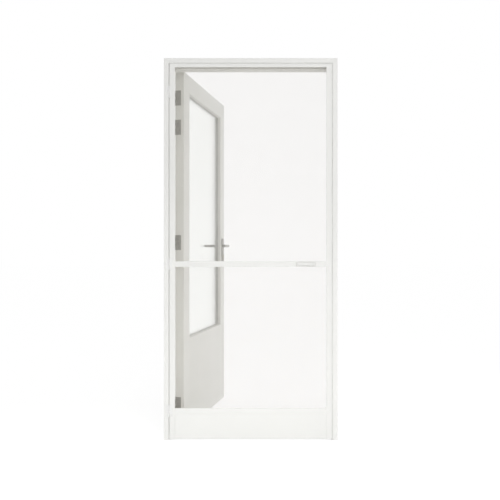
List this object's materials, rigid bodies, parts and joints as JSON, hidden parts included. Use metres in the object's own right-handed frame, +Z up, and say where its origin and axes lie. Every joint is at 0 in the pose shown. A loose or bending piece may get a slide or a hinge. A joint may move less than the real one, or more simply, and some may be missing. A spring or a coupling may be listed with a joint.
{
  "type": "hinged insect screen door in a door frame with a glazed entrance leaf",
  "caption": "White insect screen door with a mid rail and kick plate, hung by face hinges in a surround on a rebated door frame, in front of a glazed leaf that opens inwards.",
  "frame": {"origin": "on the bottom face of the sill, at the middle of the frame's width and of the wooden frame's depth", "axes": "+X to the right seen from outside, +Y into the building, +Z up"},
  "size_m": [0.99, 1.0533, 2.178],
  "materials": {
    "painted_wood": "white satin paint",
    "sill_wood": "white matt paint",
    "powder_coat": "white powder coat",
    "hinge_steel": "zinc plated, matt",
    "white_hinge": "white lacquer",
    "handle_steel": "satin",
    "lock_steel": "satin",
    "cylinder_brass": "nickel plated",
    "glass": "clear float",
    "spacer_bar": "matt",
    "insect_mesh": "woven coated yarn",
    "spline_rubber": "matt",
    "pull_plastic": "moulded, satin"
  },
  "bodies": {
    "door_frame": {"sill": "sill_wood", "hinge_jamb": "painted_wood", "latch_jamb": "painted_wood", "head": "painted_wood", "strike_plate": "lock_steel", "jamb_hinge_1": "hinge_steel", "jamb_hinge_2": "hinge_steel", "jamb_hinge_3": "hinge_steel", "jamb_hinge_4": "hinge_steel", "surround_left": "powder_coat", "surround_right": "powder_coat", "surround_head": "powder_coat", "surround_hinge_1": "white_hinge", "surround_hinge_2": "white_hinge", "surround_hinge_3": "white_hinge"},
    "screen_door": {"screen_stile_left": "powder_coat", "screen_stile_right": "powder_coat", "screen_top_rail": "powder_coat", "screen_mid_rail": "powder_coat", "screen_lower_rail": "powder_coat", "kick_plate": "powder_coat", "upper_mesh": "insect_mesh", "lower_mesh": "insect_mesh", "mesh_splines": "spline_rubber", "screen_hinge_1": "white_hinge", "screen_hinge_2": "white_hinge", "screen_hinge_3": "white_hinge", "pull_outer": "pull_plastic", "pull_inner": "pull_plastic"},
    "glazed_leaf": {"hinge_stile": "painted_wood", "lock_stile": "painted_wood", "leaf_top_rail": "painted_wood", "lower_panel": "painted_wood", "glass_outer": "glass", "glass_inner": "glass", "glass_spacer": "spacer_bar", "glazing_beads": "painted_wood", "lock_forend": "lock_steel", "handle_plate_outer": "handle_steel", "handle_plate_inner": "handle_steel", "lock_cylinder": "cylinder_brass", "leaf_hinge_1": "hinge_steel", "leaf_hinge_2": "hinge_steel", "leaf_hinge_3": "hinge_steel", "leaf_hinge_4": "hinge_steel"},
    "levers": {"lever_outer": "handle_steel", "lever_inner": "handle_steel", "spindle": "handle_steel"}
  },
  "joints": [
    {"name": "screen_swing", "type": "hinge", "parent": "door_frame", "child": "screen_door", "pos_m": [-0.46525, -0.089, 1], "axis": [0, 0, -1], "range_deg": [0, 105]},
    {"name": "leaf_swing", "type": "hinge", "parent": "door_frame", "child": "glazed_leaf", "pos_m": [-0.4555, 0.0645, 1], "axis": [0, 0, 1], "range_deg": [-77.2, 32.8]},
    {"name": "lever_turn", "type": "hinge", "parent": "glazed_leaf", "child": "levers", "pos_m": [-0.2321, 0.89207, 1.113], "axis": [0.9751, -0.2215, 0], "range_deg": [0, 40], "stiffness_Nm_per_rad": 1.5, "springref_deg": -25.78}
  ]
}
